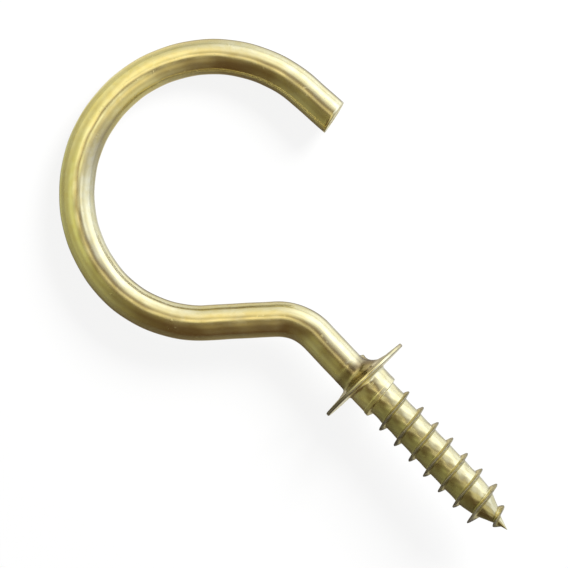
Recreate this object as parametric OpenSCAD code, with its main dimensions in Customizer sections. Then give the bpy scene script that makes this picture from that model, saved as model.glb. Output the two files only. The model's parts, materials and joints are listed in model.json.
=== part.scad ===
// Cup hook: one round wire with a rolled wood screw, a headed collar, a bent neck and an open loop.
// It lies on its side as it comes to rest, on the rim of the collar and the crown of the loop.

/* [Wire] */
// Diameter of the wire that the neck and the loop keep
wire_d = 2.95; // [2.4:0.05:3.3]

/* [Neck] */
// Straight length of the neck above the bearing face
neck_len = 5.55; // [4:0.05:9]
// How far the neck stands off the axis of the screw
neck_shift = 0.35; // [0:0.05:0.5]
// Bend radius at the top of the neck, on the wire's middle line
bend_r = 4.4; // [3:0.1:7]
// Angle of the bend at the top of the neck
bend_angle = 49.5; // [40:0.5:60]
// Straight run from that bend to the loop
lead_len = 5.75; // [2:0.25:9]

/* [Loop] */
// Radius at which the wire swings into the loop
entry_r = 10; // [8:0.25:12]
// Angle of that swing
entry_angle = 56; // [45:1:70]
// Radius of the loop, on the wire's middle line
loop_r = 11.35; // [9:0.05:14]
// Angle that the loop turns through
loop_angle = 168.5; // [140:0.5:185]
// Straight tail left at the open end
tail_len = 3.4; // [1.5:0.1:5]
// Slant of the sheared end
cut_angle = 9; // [0:1:20]

/* [Collar] */
// Diameter of the collar
collar_d = 8.5; // [7:0.1:10]
// Thickness of the collar at its rim
rim_t = 0.38; // [0.3:0.02:0.6]
// Height of the collar's low dome
dome_h = 0.68; // [0.5:0.02:1.2]
// Diameter of the top of the dome
dome_d = 3.9; // [3.7:0.1:4.4]
// Length of the hollow web from the dome up the neck
web_len = 1.25; // [0.6:0.05:1.6]
// Rounding of the collar's rim
rim_round = 0.12; // [0.05:0.01:0.14]

/* [Screw] */
// Length of the screw under the collar
screw_len = 17; // [12:0.5:26]
// Diameter of the plain shoulder under the collar
shoulder_d = 3.7; // [3.4:0.05:3.9]
// Length of the plain shoulder
shoulder_len = 1.9; // [1:0.1:3]
// Root diameter of the thread
core_d = 2.84; // [2.2:0.02:3.1]
// Diameter over the crests of the thread
crest_d = 4.0; // [3.8:0.02:4.2]
// Pitch of the thread
pitch = 1.76; // [1.3:0.02:2.2]
// Width of a thread at its root
fin_base = 0.5; // [0.35:0.05:0.7]
// Width of a thread at its crest
fin_tip = 0.12; // [0.08:0.02:0.2]
// Length over which the core runs down to the gimlet point
taper_len = 4.5; // [3.5:0.1:6]
// Length of the fine point itself
point_len = 1.1; // [0.8:0.1:2]

/* [Hidden] */
brass = [0.80, 0.71, 0.42];

// Places along the wire: [x, y, heading]. The screw's axis is X, and the bearing face is at x = 0.
function ahead(p, d) = [p[0] + d * cos(p[2]), p[1] + d * sin(p[2]), p[2]];
function turned(p, r, a) =
    let (s = sign(a), h = p[2] + a)
    [p[0] + s * r * (sin(h) - sin(p[2])), p[1] - s * r * (cos(h) - cos(p[2])), h];

wire_start = [dome_h / 2, neck_shift, 0];
neck_top = ahead(wire_start, neck_len - wire_start[0]);
bend_top = turned(neck_top, bend_r, bend_angle);
lead_top = ahead(bend_top, lead_len);
entry_top = turned(lead_top, entry_r, -entry_angle);
loop_top = turned(entry_top, loop_r, -loop_angle);
tail_end = ahead(loop_top, tail_len);

// Half sizes
wire_r = wire_d / 2;
collar_r = collar_d / 2;
shoulder_r = shoulder_d / 2;
core_r = core_d / 2;
crest_r = crest_d / 2;

// Middle points of the two loop arcs, and how far the hook reaches along X and Y
entry_mid = [lead_top[0] + entry_r * sin(lead_top[2]), lead_top[1] - entry_r * cos(lead_top[2])];
loop_mid = [entry_top[0] + loop_r * sin(entry_top[2]), entry_top[1] - loop_r * cos(entry_top[2])];
crown_x = loop_mid[0] + loop_r;
back_y = (entry_angle > bend_angle ? entry_mid[1] + entry_r : loop_mid[1] + loop_r) + wire_r;
tail_corner_y = tail_end[1] + wire_r * cos(tail_end[2]) - wire_r * tan(cut_angle) * sin(tail_end[2]);
front_y = loop_top[2] < -180 ? loop_mid[1] - loop_r - wire_r : tail_corner_y;

// How the hook lies: the rim of the collar and the crown of the loop both touch z = 0
rim_reach = collar_r - rim_round;
rim_x = rim_t - rim_round;
rim_to_crown = [crown_x - rim_x, rim_reach];
rest_tilt = acos((wire_r - rim_round) / norm(rim_to_crown)) - atan2(rim_to_crown[0], rim_to_crown[1]);
rest_place = [
    (screw_len - crown_x) * cos(rest_tilt) / 2 - wire_r / 2,
    -(back_y + front_y) / 2,
    crown_x * sin(rest_tilt) + wire_r
];

// Bearing face: flat from the root fillet, which covers the crests of the thread, out to the rim
root_gap = 0.06;
bearing_in = max(shoulder_r, crest_r) + root_gap;
root_fillet = bearing_in - shoulder_r;

// Web: it ends a little inside the wire, on the side where the neck stands back from the axis
web_in = wire_r - neck_shift - 0.1;
web_steps = 4;

// Facets: sides of the wire, degrees of bend from ring to ring, and steps in one turn of the thread
wire_sides = 32;
ring_turn = 5;
turn_steps = 24;

// Thread: the first turn rises out of the shoulder, the last ones run down to the point
first_turn = shoulder_len + 0.12;
run_in = pitch / 2;
point_slope = 0.36;
fin_end = 0.3;
fin_bury = 0.15;
least_foot = 0.02;
point_r = 0.36;

// Closed skin over a list of rings that all have the same number of points
module skinned(rings) {
    n = len(rings[0]);
    last = len(rings) - 1;
    sides = [for (i = [0:last - 1], j = [0:n - 1]) let (k = (j + 1) % n)
        each [[i * n + j, (i + 1) * n + k, i * n + k], [i * n + j, (i + 1) * n + j, (i + 1) * n + k]]];
    caps = [[for (j = [0:n - 1]) j], [for (j = [n - 1:-1:0]) last * n + j]];
    polyhedron(points = [for (ring = rings) each ring], faces = concat(sides, caps), convexity = 10);
}

// Round section of the wire at a place, turned off square by a slant
function wire_ring(p, slant = 0) =
    let (c = cos(p[2]), s = sin(p[2]))
    [for (j = [0:wire_sides - 1])
        let (a = 360 * j / wire_sides, out = wire_r * cos(a), on = -out * tan(slant))
        [p[0] + on * c - out * s, p[1] + on * s + out * c, wire_r * sin(a)]];

function arc_rings(p, r, a) =
    let (n = ceil(abs(a) / ring_turn))
    [for (i = [1:n]) wire_ring(turned(p, r, a * i / n))];

// Neck and loop: the wire as it leaves the bending pins
module bent_wire() {
    skinned(concat(
        [wire_ring(wire_start), wire_ring(neck_top)],
        arc_rings(neck_top, bend_r, bend_angle),
        [wire_ring(lead_top)],
        arc_rings(lead_top, entry_r, -entry_angle),
        arc_rings(entry_top, loop_r, -loop_angle),
        [wire_ring(tail_end, cut_angle)]
    ));
}

// Radius of the screw's core at a distance below the collar
taper_from = screw_len - taper_len;
ogive_len = taper_len - point_len;
function core_at(d) =
    d < taper_from ? core_r :
    d < taper_from + ogive_len ? point_r + (core_r - point_r) * cos(90 * (d - taper_from) / ogive_len) :
    point_r * (screw_len - d) / point_len;

// Crest radius of the thread at a distance below the collar
function crest_at(d) = min(
    crest_r,
    shoulder_r - root_gap + (crest_r - shoulder_r + root_gap) * (d - first_turn + run_in) / pitch,
    core_at(d) + (screw_len - d) * point_slope
);

// Core, shoulder, collar and web, headed as one round shape: [radius, place along the axis]
module screw_blank() {
    ogive_steps = 8;
    rim_steps = 4;
    rotate([0, 90, 0]) rotate_extrude($fn = 96) polygon(concat(
        [[0, -screw_len]],
        [for (i = [ogive_steps:-1:0]) let (d = taper_from + ogive_len * i / ogive_steps) [core_at(d), -d]],
        [[core_r, -shoulder_len - shoulder_r + core_r], [shoulder_r, -shoulder_len]],
        [[shoulder_r, -root_fillet], [bearing_in, 0]],
        [for (i = [0:rim_steps]) let (a = -90 + 90 * i / rim_steps)
            [rim_reach + rim_round * cos(a), rim_round + rim_round * sin(a)]],
        [for (i = [0:rim_steps]) let (a = 90 * i / rim_steps)
            [rim_reach + rim_round * cos(a), rim_x + rim_round * sin(a)]],
        [for (i = [0:web_steps])
            let (t = i / web_steps) [web_in + (dome_d / 2 - web_in) * (1 - t) ^ 2, dome_h + web_len * t]],
        [[0, dome_h + web_len]]
    ));
}

// Rolled thread: one fin wound right-handed round the core
module thread() {
    turns = (screw_len - fin_end - first_turn + run_in) / pitch;
    steps = floor(turns * turn_steps);
    skinned([for (i = [0:steps])
        let (
            d = first_turn - run_in + pitch * i / turn_steps,
            a = 180 - 360 * i / turn_steps,
            foot = max(least_foot, core_at(d) - fin_bury),
            top = crest_at(d),
            half_foot = fin_base / 2,
            half_top = fin_tip / 2
        )
        [for (c = [[-half_foot, foot], [-half_top, top], [half_top, top], [half_foot, foot]])
            [c[0] - d, c[1] * cos(a), c[1] * sin(a)]]
    ]);
}

module cup_hook() {
    color(brass)
        translate(rest_place) rotate([0, rest_tilt, 0]) {
            screw_blank();
            thread();
            bent_wire();
        }
}

cup_hook();
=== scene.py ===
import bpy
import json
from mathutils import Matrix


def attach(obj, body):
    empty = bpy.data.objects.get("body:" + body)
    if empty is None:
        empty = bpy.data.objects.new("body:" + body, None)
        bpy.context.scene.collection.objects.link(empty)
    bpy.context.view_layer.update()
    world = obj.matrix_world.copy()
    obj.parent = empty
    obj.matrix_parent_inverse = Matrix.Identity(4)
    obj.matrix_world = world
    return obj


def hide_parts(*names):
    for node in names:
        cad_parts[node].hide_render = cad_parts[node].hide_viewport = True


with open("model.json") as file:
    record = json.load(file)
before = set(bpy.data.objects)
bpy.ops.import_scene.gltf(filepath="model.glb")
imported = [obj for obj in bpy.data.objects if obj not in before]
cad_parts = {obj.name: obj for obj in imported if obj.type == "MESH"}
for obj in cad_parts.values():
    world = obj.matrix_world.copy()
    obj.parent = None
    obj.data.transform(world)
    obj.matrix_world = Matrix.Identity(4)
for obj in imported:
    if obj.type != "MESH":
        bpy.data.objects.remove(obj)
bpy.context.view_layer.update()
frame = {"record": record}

import json
import math

import bpy
import numpy as np
from mathutils import Matrix, Vector

# How the hook lies. A cup hook has no flat side: it rests on the rim of its collar and the crown of its
# loop, so the screw's axis leans a few degrees. The hook's own frame has that axis as X, its bearing face
# at x = 0 and the loop in the XY plane, and it is laid down as the mount on the screw's shank says.
mm = 0.001
mounts = {mount["name"]: mount for mount in frame["record"]["mounts"]}
screw_len = 17.0
point_way = Vector(mounts["screw_shank"]["axis"]).normalized()
face_middle = Vector(mounts["screw_shank"]["pos_m"]) - point_way * (screw_len / 2 * mm)
loop_way = -point_way
side_way = Vector((0, 1, 0))
upper_way = loop_way.cross(side_way)
lay_down = Matrix.Translation(face_middle) @ Matrix((loop_way, side_way, upper_way)).transposed().to_4x4()


# Screw. The wire's end is rolled between two dies, which press the core down and raise one thin sharp fin
# in a right-handed helix. The groove starts shallow in the plain shoulder, and the core runs down to a
# gimlet point on which the last turns die out.
shoulder_r = 1.85
core_r = 1.42
crest_r = 2.0
pitch = 1.76
fin_half_foot = 0.20
fin_half_top = 0.03
first_turn = 2.02
taper_from = 12.5
ogive_len = 3.4
point_r = 0.36
point_slope = 0.36
screw_sides = 128
screw_step = 0.035


def soft_step(low, high, value):
    t = np.clip((value - low) / (high - low), 0, 1)
    return t * t * (3 - 2 * t)


def core_radius(depth):
    share = np.clip((depth - taper_from) / ogive_len, 0, 1)
    ogive = point_r + (core_r - point_r) * np.cos(np.pi / 2 * share)
    cone = point_r * (screw_len - depth) / (screw_len - taper_from - ogive_len)
    return np.where(depth < taper_from + ogive_len, ogive, cone)


def crest_radius(fin_depth, depth, angle):
    uneven = 0.014 * np.sin(2.3 * angle + 0.9 * depth) + 0.010 * np.sin(5 * angle - 2.1 * depth)
    full = shoulder_r + (crest_r - shoulder_r) * soft_step(1.2, 3.2, fin_depth)
    fade = core_radius(depth) + (screw_len - depth) * point_slope
    return np.minimum(full + uneven * soft_step(2.4, 4.5, fin_depth), fade)


def screw_radius(depth, angle):
    die_slip = 0.08 - 0.13 * np.cos(angle)
    turn = pitch * angle / (2 * np.pi) - die_slip
    wound = (depth + turn - first_turn) / pitch
    fin_depth = first_turn + pitch * np.round(wound) - turn
    groove_depth = first_turn + pitch * (np.floor(wound) + 0.5) - turn
    pressed = soft_step(1.2, 2.9, groove_depth)
    core = core_radius(depth)
    base = core + (np.maximum(shoulder_r, core) - core) * (1 - pressed)
    new = 1 - soft_step(1.6, 3.4, fin_depth)
    top = fin_half_top * (1 + 5 * new)
    flank = np.clip((fin_half_foot - np.abs(depth - fin_depth)) / (fin_half_foot - top), 0, 1) ** 1.3
    hollow = 0.015 * np.cos(2 * np.pi * wound) * pressed * soft_step(0.3, core_r, core)
    crest = np.maximum(crest_radius(fin_depth, depth, angle), base)
    die_marks = 0.006 * np.sin(9 * angle + 4 * depth) + 0.004 * np.sin(17 * angle - 5 * depth)
    radius = base + (crest - base) * flank + hollow * (1 - flank) + die_marks * soft_step(0.1, 0.6, core)
    return radius, flank * (1 - new)


screw_depths = np.arange(screw_len - 0.02, 0.32, -screw_step)
screw_angles = np.arange(screw_sides) * 2 * np.pi / screw_sides
depth_grid, angle_grid = np.meshgrid(screw_depths, screw_angles, indexing="ij")
screw_r, fin_share = screw_radius(depth_grid, angle_grid)
screw_rings = np.stack([-depth_grid, screw_r * np.cos(angle_grid), screw_r * np.sin(angle_grid)], axis=2)


# Collar. A heading die upsets the wire into this thin round disc between the screw and the neck. The side
# that seats on the wood is flat, the other side is a low dome. Where the wire stands back from the screw's
# axis, a hollow web and a small ear of flash are left at its root.
collar_r = 4.25
rim_t = 0.31
rim_round = 0.11
dome_h = 0.64
dome_top_r = 1.95
web_len = 1.25
web_in = 1.025
wire_r = 1.475
neck_shift = 0.35
bearing_in = 2.06
rim_bow = 0.02
flash_height = 0.22
flash_half_angle = 0.20
neck_start = dome_h + web_len


def line(a, b, count):
    return [tuple(np.array(a) + (np.array(b) - np.array(a)) * i / count) for i in range(1, count + 1)]


def arc(middle, radius, start, end, count):
    angles = np.radians(np.linspace(start, end, count + 1))[1:]
    return [(middle[0] + radius * np.cos(a), middle[1] + radius * np.sin(a)) for a in angles]


rim_in = collar_r - rim_round
collar_profile = (
    [(-0.30, shoulder_r), (-0.22, shoulder_r + 0.01), (-0.12, shoulder_r + 0.05), (-0.04, shoulder_r + 0.13)]
    + [(0.0, bearing_in)] + line((0, bearing_in), (0, rim_in), 14)
    + arc((rim_round, rim_in), rim_round, 180, 90, 6)
    + arc((rim_t - rim_round, rim_in), rim_round, 90, 0, 6)
    + line((rim_t, rim_in), (0.45, 2.7), 8) + line((0.45, 2.7), (dome_h - 0.03, dome_top_r + 0.10), 6)
    + [(dome_h + web_len * i / 14, web_in + (dome_top_r - web_in) * (1 - i / 14) ** 2) for i in range(15)]
)
neck_side = neck_shift * np.cos(screw_angles) + np.sqrt(wire_r**2 - (neck_shift * np.sin(screw_angles)) ** 2)
collar_rings = []
for place, radius in collar_profile:
    rim_share = float(soft_step(2.2, collar_r, radius))
    ripple = 0.0015 * np.sin(3 * screw_angles + 1.1) + 0.001 * np.sin(7 * screw_angles + 0.4)
    reach = radius * (1 + ripple * rim_share)
    if place >= dome_h - 0.01:
        reach = (reach + neck_side + np.sqrt((reach - neck_side) ** 2 + 0.012)) / 2
        reach = reach + (neck_side - reach) * float(soft_step(neck_start - 0.15, neck_start, place))
        from_seam = np.abs(screw_angles - np.pi) / flash_half_angle
        risen = float(soft_step(0.85, 1.72, place) * (1 - soft_step(1.74, 1.86, place)))
        reach = reach + flash_height * risen * np.clip(1 - from_seam, 0, 1) ** 1.5
    bow = rim_bow * np.sin(2 * screw_angles + 0.6) * rim_share
    ring = np.stack([place + bow, reach * np.cos(screw_angles), reach * np.sin(screw_angles)], 1)
    collar_rings.append(ring)
collar_rings = np.array(collar_rings)
rim_shares = soft_step(rim_in, rim_in + 0.05, np.array([radius for place, radius in collar_profile]))
edge_shares = rim_shares * np.array([radius < collar_r - 0.006 for place, radius in collar_profile])


# Neck and loop. The plain wire leaves the collar a little off the screw's axis, turns aside over one pin
# and swings back over two more into an open loop, which springs out to a short straight tail.
neck_len = 5.55
bend_r = 4.4
bend_turn = 49.5
lead_len = 5.75
entry_r = 10.0
entry_turn = 56.0
loop_r = 11.35
loop_turn = 168.5
tail_len = 3.4
cut_slant = math.radians(9)
wire_sides = 64
wire_step = 0.25


def ahead(stop, length):
    x, y, heading = stop
    return (x + length * math.cos(heading), y + length * math.sin(heading), heading)


def turned(stop, radius, degrees):
    x, y, heading = stop
    side = math.copysign(1, degrees)
    after = heading + math.radians(degrees)
    return (x + side * radius * (math.sin(after) - math.sin(heading)),
            y - side * radius * (math.cos(after) - math.cos(heading)), after)


runs = [("straight", neck_len - neck_start, 0), ("bend", bend_r, bend_turn), ("straight", lead_len, 0),
        ("bend", entry_r, -entry_turn), ("bend", loop_r, -loop_turn), ("straight", tail_len, 0)]
stop = (neck_start, neck_shift, 0.0)
stops = []
lengths = []
gone = neck_start
for kind, size, turn in runs:
    length = size if kind == "straight" else size * math.radians(abs(turn))
    count = max(2, round(length / wire_step))
    for i in range(1, count + 1):
        part = i / count
        stops.append(ahead(stop, length * part) if kind == "straight" else turned(stop, size, turn * part))
        lengths.append(gone + length * i / count)
    stop = stops[-1]
    gone += length

wire_angles = np.arange(wire_sides) * 2 * np.pi / wire_sides
wire_rings = []
for (x, y, heading), along in zip(stops, lengths):
    settled = float(soft_step(neck_start, neck_start + 1.5, along))
    uneven = 0.005 * np.sin(0.9 * along + wire_angles) + 0.004 * np.sin(2.3 * along - 2 * wire_angles)
    radius = wire_r * (1 + settled * uneven)
    to_end = lengths[-1] - along
    slant = math.tan(cut_slant) * max(0.0, 1 - to_end / 1.2)
    across = radius * np.cos(wire_angles)
    ring = np.stack([x - across * slant * math.cos(heading) - across * math.sin(heading),
                     y - across * slant * math.sin(heading) + across * math.cos(heading),
                     radius * np.sin(wire_angles)], 1)
    wire_rings.append(ring)
wire_rings = np.array(wire_rings)


# Sheared end. The loop's free end is cropped by a blade: the edge that it met first is drawn over, the
# far edge keeps a slight burr, and the face between is part smooth, part torn.
end_x, end_y, end_heading = stops[-1]
end_way = np.array([math.cos(end_heading), math.sin(end_heading), 0])
end_middle = np.array([end_x, end_y, 0])
draw_over = 0.16
burr = 0.05
tear = 0.05
end_rings = []
for scale in (0.985, 0.95, 0.88, 0.76, 0.60, 0.42, 0.22):
    flat = end_middle + (wire_rings[-1] - end_middle) * scale
    first_met = 0.5 + 0.5 * np.cos(wire_angles)
    drawn = draw_over * first_met * (1 - scale) ** 0.35 - burr * (1 - first_met) * (scale > 0.93)
    torn = tear * (1 - first_met) * np.sin(5 * wire_angles + 9 * scale) * (1 - scale)
    end_rings.append(flat + np.outer(drawn * (scale > 0.3) * 0.6 + torn, end_way))
end_rings = np.array(end_rings)


# The hook as one skin. All of it is the same length of steel wire, so it is one closed mesh, with the
# distance along the wire and the share of the way round it kept on every corner for the marks of drawing.
def ring_faces(first, count, sides):
    low = first + np.arange(count - 1)[:, None] * sides + np.arange(sides)[None, :]
    following = first + np.arange(count - 1)[:, None] * sides + (np.arange(sides)[None, :] + 1) % sides
    return np.stack([low, low + sides, following + sides, following], 2).reshape(-1, 4).tolist()


def unrolled(alongs, sides):
    return [(a, j / sides) for a in alongs for j in range(sides)]


thick_rings = np.concatenate([screw_rings, collar_rings])
thin_rings = np.concatenate([wire_rings, end_rings])
corner_places = (
    unrolled(thick_rings[:, :, 0].mean(1), screw_sides)
    + unrolled(lengths + [lengths[-1] + 0.2 * (i + 1) for i in range(len(end_rings))], wire_sides)
    + [(-screw_len, 0.5), (lengths[-1] + 1.6, 0.5)]
)
skin_points = np.concatenate([
    thick_rings.reshape(-1, 3), thin_rings.reshape(-1, 3), [(-screw_len, 0, 0)], [end_middle]
])
thick_count, thin_count = len(thick_rings), len(thin_rings)
thin_first = thick_count * screw_sides
tip = len(skin_points) - 2
skin_faces = ring_faces(0, thick_count, screw_sides) + ring_faces(thin_first, thin_count, wire_sides)
last = thin_first - screw_sides
for j in range(wire_sides):
    k = (j + 1) % wire_sides
    skin_faces.append([last + 2 * j, thin_first + j, last + 2 * j + 1])
    skin_faces.append([last + 2 * j + 1, thin_first + j, thin_first + k, last + (2 * j + 2) % screw_sides])
    skin_faces.append([tip + 1, tip - wire_sides + k, tip - wire_sides + j])
for j in range(screw_sides):
    skin_faces.append([tip, j, (j + 1) % screw_sides])

hook_data = bpy.data.meshes.new("hook_skin")
hook_data.from_pydata([lay_down @ Vector(point * mm) for point in skin_points], [], skin_faces)
unrolled_span = 100
unrolling = hook_data.uv_layers.new(name="unrolled_wire")
wear_and_shade_uv = hook_data.uv_layers.new(name="thread_wear")
wear_and_shade_shares = np.zeros((len(skin_points), 2))
wear_and_shade_shares[:fin_share.size, 0] = fin_share.reshape(-1)
rim_places = slice(fin_share.size, thin_first)
wear_and_shade_shares[rim_places, 0] = np.repeat(edge_shares, screw_sides)
wear_and_shade_shares[rim_places, 1] = np.repeat(rim_shares, screw_sides)
for polygon in hook_data.polygons:
    rounds = [corner_places[v][1] for v in polygon.vertices]
    for corner, v in zip(polygon.loop_indices, polygon.vertices):
        along, part = corner_places[v]
        unrolling.data[corner].uv = (along / unrolled_span, part + (max(rounds) - part > 0.5))
        wear_and_shade_uv.data[corner].uv = wear_and_shade_shares[v]
hook_data.shade_smooth()
hook_data.update()
hook = bpy.data.objects.new("brass_cup_hook", hook_data)
bpy.context.collection.objects.link(hook)
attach(hook, "root")
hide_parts("cup_hook")


# Brass plating. The steel hook is tumbled and then plated with a thin layer of bright yellow brass, which
# keeps the fine lines of the drawn wire, the small nicks of tumbling and a slightly uneven bloom.
plate_colour = (0.80, 0.70, 0.33, 1)
plate_pale = (0.83, 0.75, 0.40, 1)
plate_warm = (0.77, 0.65, 0.26, 1)

plating = bpy.data.materials.new("brass_plating")
plating.use_nodes = True
nodes, links = plating.node_tree.nodes, plating.node_tree.links


def add_node(kind, **settings):
    node = nodes.new(kind)
    for name, value in settings.items():
        setattr(node, name, value)
    return node


def sum_of(operation, a, b, c=0.0):
    node = add_node("ShaderNodeMath", operation=operation)
    for socket, value in zip(node.inputs, (a, b, c)):
        if isinstance(value, (int, float)):
            socket.default_value = value
        else:
            links.new(value, socket)
    return node.outputs["Value"]


def wire_field(per_mm_along, per_mm_round, detail):
    unrolled_place = add_node("ShaderNodeUVMap", uv_map="unrolled_wire")
    parts = add_node("ShaderNodeSeparateXYZ")
    links.new(unrolled_place.outputs["UV"], parts.inputs["Vector"])
    way_round = sum_of("MULTIPLY", parts.outputs["Y"], 2 * math.pi)
    wrapped = add_node("ShaderNodeCombineXYZ")
    links.new(sum_of("MULTIPLY", parts.outputs["X"], unrolled_span * per_mm_along), wrapped.inputs["X"])
    for axis, operation in (("Y", "COSINE"), ("Z", "SINE")):
        turned_side = sum_of("MULTIPLY", sum_of(operation, way_round, 0), wire_r * per_mm_round)
        links.new(turned_side, wrapped.inputs[axis])
    field = add_node("ShaderNodeTexNoise")
    field.inputs["Scale"].default_value = 1
    field.inputs["Detail"].default_value = detail
    links.new(wrapped.outputs["Vector"], field.inputs["Vector"])
    return field.outputs["Fac"]


def spread(value, low, high, to_low, to_high):
    band = add_node("ShaderNodeMapRange")
    band.inputs["From Min"].default_value = low
    band.inputs["From Max"].default_value = high
    band.inputs["To Min"].default_value = to_low
    band.inputs["To Max"].default_value = to_high
    links.new(value, band.inputs["Value"])
    return band.outputs["Result"]


def blended(fac, a, b):
    mix = add_node("ShaderNodeMix", data_type="RGBA")
    links.new(fac, mix.inputs["Factor"])
    for colour, name in ((a, "A"), (b, "B")):
        socket = [s for s in mix.inputs if s.name == name and s.type == "RGBA"][0]
        if isinstance(colour, tuple):
            socket.default_value = colour
        else:
            links.new(colour, socket)
    return [s for s in mix.outputs if s.type == "RGBA"][0]


def raised(height, strength, distance, under=None):
    bump = add_node("ShaderNodeBump")
    bump.inputs["Strength"].default_value = strength
    bump.inputs["Distance"].default_value = distance * mm
    links.new(height, bump.inputs["Height"])
    if under is not None:
        links.new(under, bump.inputs["Normal"])
    return bump.outputs["Normal"]


metal = nodes["Principled BSDF"]
bloom = spread(wire_field(0.5, 0.7, 3), 0.35, 0.65, 0, 1)
tint = spread(wire_field(1.6, 2.0, 3), 0.42, 0.70, 0, 0.7)
plated = blended(tint, blended(bloom, plate_colour, plate_pale), plate_warm)

# Wear and painted shade. The crests of the fins and the edge of the collar's rim are worn to dull grey-brown
# steel, darkened further as painted shade on one side, as is the collar's rim on two sides. The rolled
# grooves are rougher than the smooth wire and carry painted shade, deepest on that side; the web gets brown
# painted shade.
thread_wear = add_node("ShaderNodeSeparateXYZ")
links.new(add_node("ShaderNodeUVMap", uv_map="thread_wear").outputs["UV"], thread_wear.inputs["Vector"])
patchy = spread(wire_field(3, 3, 2), 0.3, 0.6, 0.5, 1)
wear_and_shade_edges = sum_of("MULTIPLY", spread(thread_wear.outputs["X"], 0.15, 0.60, 0, 1), patchy)
wire_place = add_node("ShaderNodeSeparateXYZ")
links.new(add_node("ShaderNodeUVMap", uv_map="unrolled_wire").outputs["UV"], wire_place.inputs["Vector"])
along_wire = sum_of("MULTIPLY", wire_place.outputs["X"], unrolled_span)
# Painted shade: the hollow web where the neck meets the collar, about 0.3 to 2 mm along the wire, is
# darkened brown in patches.
on_web = sum_of("MULTIPLY", spread(along_wire, 0.30, 0.65, 0, 1), spread(along_wire, 1.50, 2.05, 1, 0))
painted_web_shade = sum_of("MULTIPLY", on_web, spread(wire_field(1.5, 1.2, 3), 0.35, 0.60, 0.65, 1))
# Colours of the painted shade on the web and in the grooves, of the worn crests darkened as shade, and of
# the deepest shade.
web_shade_colour = (0.28, 0.21, 0.09, 1)
groove_shade_colour = (0.50, 0.45, 0.20, 1)
fin_wear_and_shade_colour = (0.42, 0.38, 0.25, 1)
painted_shade_colour = (0.15, 0.12, 0.08, 1)
# Painted shade in the rolled grooves of the screw: darkest where side_turned is high, faint on the other
# side.
rolled = spread(along_wire, -3.0, -1.2, 1, 0)
side_turned = sum_of("COSINE", sum_of("MULTIPLY", wire_place.outputs["Y"], 2 * math.pi), 0)
painted_groove_shade = sum_of("MULTIPLY", rolled, spread(side_turned, -0.45, 0.6, 0.12, 1))
groove_shaded_plate = blended(painted_groove_shade, plated, groove_shade_colour)
# Painted shade on one side of the hook, where side_turned is high: the worn crests and rim edge darken to
# the deepest shade colour there.
painted_shade_side = spread(side_turned, -0.5, 0.8, 0, 1)
fins_worn_and_shaded = blended(painted_shade_side, fin_wear_and_shade_colour, painted_shade_colour)
# The plating's colour with the wear and the painted shade laid over it.
worn_and_shaded_plate = blended(wear_and_shade_edges, blended(painted_web_shade, groove_shaded_plate, web_shade_colour), fins_worn_and_shaded)
# Painted shade on the collar's rim, on two sides of it, blending to the deepest shade colour.
rim_shade_sides = sum_of("ADD", spread(side_turned, 0.05, 0.5, 0, 0.8), spread(side_turned, -0.90, -0.98, 0, 0.8))
painted_rim_shade = sum_of("MULTIPLY", thread_wear.outputs["Y"], rim_shade_sides)
links.new(blended(painted_rim_shade, worn_and_shaded_plate, painted_shade_colour), metal.inputs["Base Color"])
# Where shade is painted, the metal is made less metallic and, further down, rougher, which darkens it
# further.
painted_shade_share = sum_of("MAXIMUM", sum_of("MULTIPLY", wear_and_shade_edges, painted_shade_side), painted_rim_shade)
links.new(sum_of("MULTIPLY_ADD", painted_shade_share, -0.7, 1.0), metal.inputs["Metallic"])

drawn_lines = wire_field(0.12, 6.5, 3)
nicks = spread(wire_field(2.6, 2.2, 2), 0.68, 0.76, 0, 1)
haze = spread(wire_field(0.45, 1.1, 3), 0.35, 0.70, 0.16, 0.22)
dulled = sum_of("MULTIPLY_ADD", wear_and_shade_edges, 0.12, sum_of("MULTIPLY_ADD", nicks, 0.12, haze))
dulled = sum_of("MULTIPLY_ADD", rolled, 0.10, sum_of("MULTIPLY_ADD", painted_shade_share, 0.25, dulled))
links.new(dulled, metal.inputs["Roughness"])
wavy = raised(wire_field(0.30, 0.55, 1), 0.5, 0.10)
lined = raised(drawn_lines, 0.35, 0.008, wavy)
nicked = raised(sum_of("SUBTRACT", 1.0, nicks), 0.35, 0.015, lined)
links.new(nicked, metal.inputs["Normal"])
hook_data.materials.append(plating)


# Table. A plain white sheet with a satin face. The eye sees it as plain white with the hook's soft shadow,
# and the plating near it mirrors its sheen, which is bright towards the window and dim away from it.
table_data = bpy.data.meshes.new("table")
table_data.from_pydata([(-1.5, -1.5, 0), (1.5, -1.5, 0), (1.5, 1.5, 0), (-1.5, 1.5, 0)], [], [(0, 1, 2, 3)])
table = bpy.data.objects.new("table", table_data)
bpy.context.collection.objects.link(table)
white = bpy.data.materials.new("white_table")
white.use_nodes = True
nodes, links = white.node_tree.nodes, white.node_tree.links
surface = nodes["Principled BSDF"]
surface.inputs["Base Color"].default_value = (0.80, 0.80, 0.79, 1)
surface.inputs["Roughness"].default_value = 0.45
sheen = add_node("ShaderNodeBsdfGlossy")
sheen.inputs["Color"].default_value = (0.72, 0.72, 0.70, 1)
sheen.inputs["Roughness"].default_value = 0.15
glow = add_node("ShaderNodeEmission")
glow.inputs["Color"].default_value = (1, 1, 1, 1)
ray = add_node("ShaderNodeLightPath")


def mixed_shaders(fac, a, b):
    mix = add_node("ShaderNodeMixShader")
    for value, socket in zip((fac, a, b), mix.inputs):
        links.new(value, socket)
    return mix.outputs["Shader"]


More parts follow.
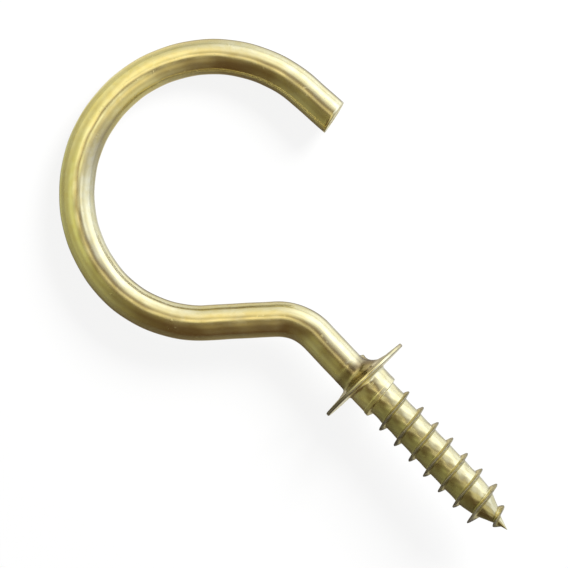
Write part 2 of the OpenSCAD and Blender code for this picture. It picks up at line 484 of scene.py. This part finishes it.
sheen_share = sum_of("MULTIPLY", ray.outputs["Is Glossy Ray"], 0.99)
satin = mixed_shaders(sheen_share, surface.outputs["BSDF"], sheen.outputs["BSDF"])
seen_share = sum_of("MULTIPLY", ray.outputs["Is Camera Ray"], 0.88)
white_share = sum_of("MULTIPLY_ADD", ray.outputs["Is Glossy Ray"], 0.05, seen_share)
whitened = mixed_shaders(white_share, satin, glow.outputs["Emission"])
links.new(whitened, nodes["Material Output"].inputs["Surface"])
table_data.materials.append(white)


# Camera. It looks down on the loop almost squarely, and leans a little towards the screw's point. The screw
# points to the lower right, and the loop opens to the right.
view_turn = math.radians(46.45)


def ways_at(lean):
    lean = math.radians(lean)
    above = upper_way * math.cos(lean) - loop_way * math.sin(lean)
    along = loop_way * math.cos(lean) + upper_way * math.sin(lean)
    right = -math.cos(view_turn) * along - math.sin(view_turn) * side_way
    up = math.sin(view_turn) * along - math.cos(view_turn) * side_way
    return right, up, above


view_right, view_up, eye_way = ways_at(2.8)
middle = lay_down @ Vector((10.52 * mm, -0.63 * mm, 0))
eye_distance = 400 * mm
camera_data = bpy.data.cameras.new("camera")
camera_data.sensor_width = 36
camera_data.lens = 36 * eye_distance / (47.15 * mm)
camera_data.clip_start = 0.01
camera = bpy.data.objects.new("camera", camera_data)
bpy.context.collection.objects.link(camera)
bpy.context.scene.camera = camera
camera.matrix_world = (
    Matrix.Translation(middle + eye_way * eye_distance)
    @ Matrix((view_right, view_up, eye_way)).transposed().to_4x4()
)


# Room. The bright plating mirrors the walls and ceiling, so they are drawn as soft pools of light in a dim
# room: white window light from the right and above, paler walls to the left, and a dark side below.
room_right, room_up, room_above = ways_at(0)


def room_way(turn, drop):
    turn, drop = math.radians(turn), math.radians(drop)
    level = room_right * math.cos(turn) + room_up * math.sin(turn)
    return level * math.sin(drop) + room_above * math.cos(drop)


room = bpy.data.worlds.new("room")
bpy.context.scene.world = room
room.use_nodes = True
nodes, links = room.node_tree.nodes, room.node_tree.links
pools = [
    (10, 59, 12.5, (0.70, 0.80, 1.12)),
    (14, 32, 63.0, (1.00, 1.13, 1.60)),
    (19, 100, 5.8, (1.10, 1.28, 2.05)),
    (150, 6, 300.0, (0.33, 0.31, 0.23)),
    (335, 6, 300.0, (0.40, 0.37, 0.28)),
    (44, 66, 15.0, (0.93, 1.00, 1.28)),
    (110, 12, 130.0, (1.10, 1.03, 0.88)),
    (70, 73, 8.8, (1.06, 1.18, 1.62)),
    (68, 41, 81.0, (0.62, 0.68, 0.78)),
    (108, 40, 17.0, (0.86, 0.80, 0.64)),
    (130, 32, 53.0, (0.50, 0.52, 0.42)),
    (135, 76, 5.4, (0.90, 0.94, 0.72)),
    (151, 19, 81.0, (0.90, 0.95, 0.83)),
    (182, 37, 22.0, (0.59, 0.67, 0.40)),
    (201, 78, 6.5, (0.37, 0.43, 0.30)),
    (310, 68, 11.0, (0.71, 0.74, 0.63)),
    (312, 30, 26.0, (0.93, 0.89, 0.68)),
    (338, 13, 110.0, (1.05, 1.16, 1.16)),
]
seen_way = add_node("ShaderNodeTexCoord").outputs["Generated"]
room_light = add_node("ShaderNodeCombineXYZ")
for axis, level in zip("XYZ", (0.066, 0.022, 0.004)):
    room_light.inputs[axis].default_value = level
room_light = room_light.outputs["Vector"]
for turn, drop, tightness, tone in pools:
    nearness = add_node("ShaderNodeVectorMath", operation="DOT_PRODUCT")
    nearness.inputs[1].default_value = room_way(turn, drop)
    links.new(seen_way, nearness.inputs[0])
    fall = sum_of("EXPONENT", sum_of("MULTIPLY_ADD", nearness.outputs["Value"], tightness, -tightness), 0)
    pool = add_node("ShaderNodeVectorMath", operation="MULTIPLY_ADD")
    pool.inputs[0].default_value = tone
    links.new(fall, pool.inputs[1])
    links.new(room_light, pool.inputs[2])
    room_light = pool.outputs["Vector"]
ray = add_node("ShaderNodeLightPath")
seen_white = blended(ray.outputs["Is Camera Ray"], room_light, (1, 1, 1, 1))
soft_level = sum_of("MULTIPLY_ADD", ray.outputs["Is Diffuse Ray"], -0.7, 1.0)
links.new(seen_white, nodes["Background"].inputs["Color"])
links.new(soft_level, nodes["Background"].inputs["Strength"])

window_data = bpy.data.lights.new("window", "AREA")
window_data.shape = "RECTANGLE"
window_data.size = 0.16
window_data.size_y = 0.12
window_data.energy = 1.9
window = bpy.data.objects.new("window", window_data)
bpy.context.collection.objects.link(window)
window.location = middle + room_way(45, 50) * 0.30
window.rotation_euler = room_way(45, 50).to_track_quat("Z", "Y").to_euler()
window.visible_glossy = False

bpy.context.scene.view_settings.view_transform = "Standard"
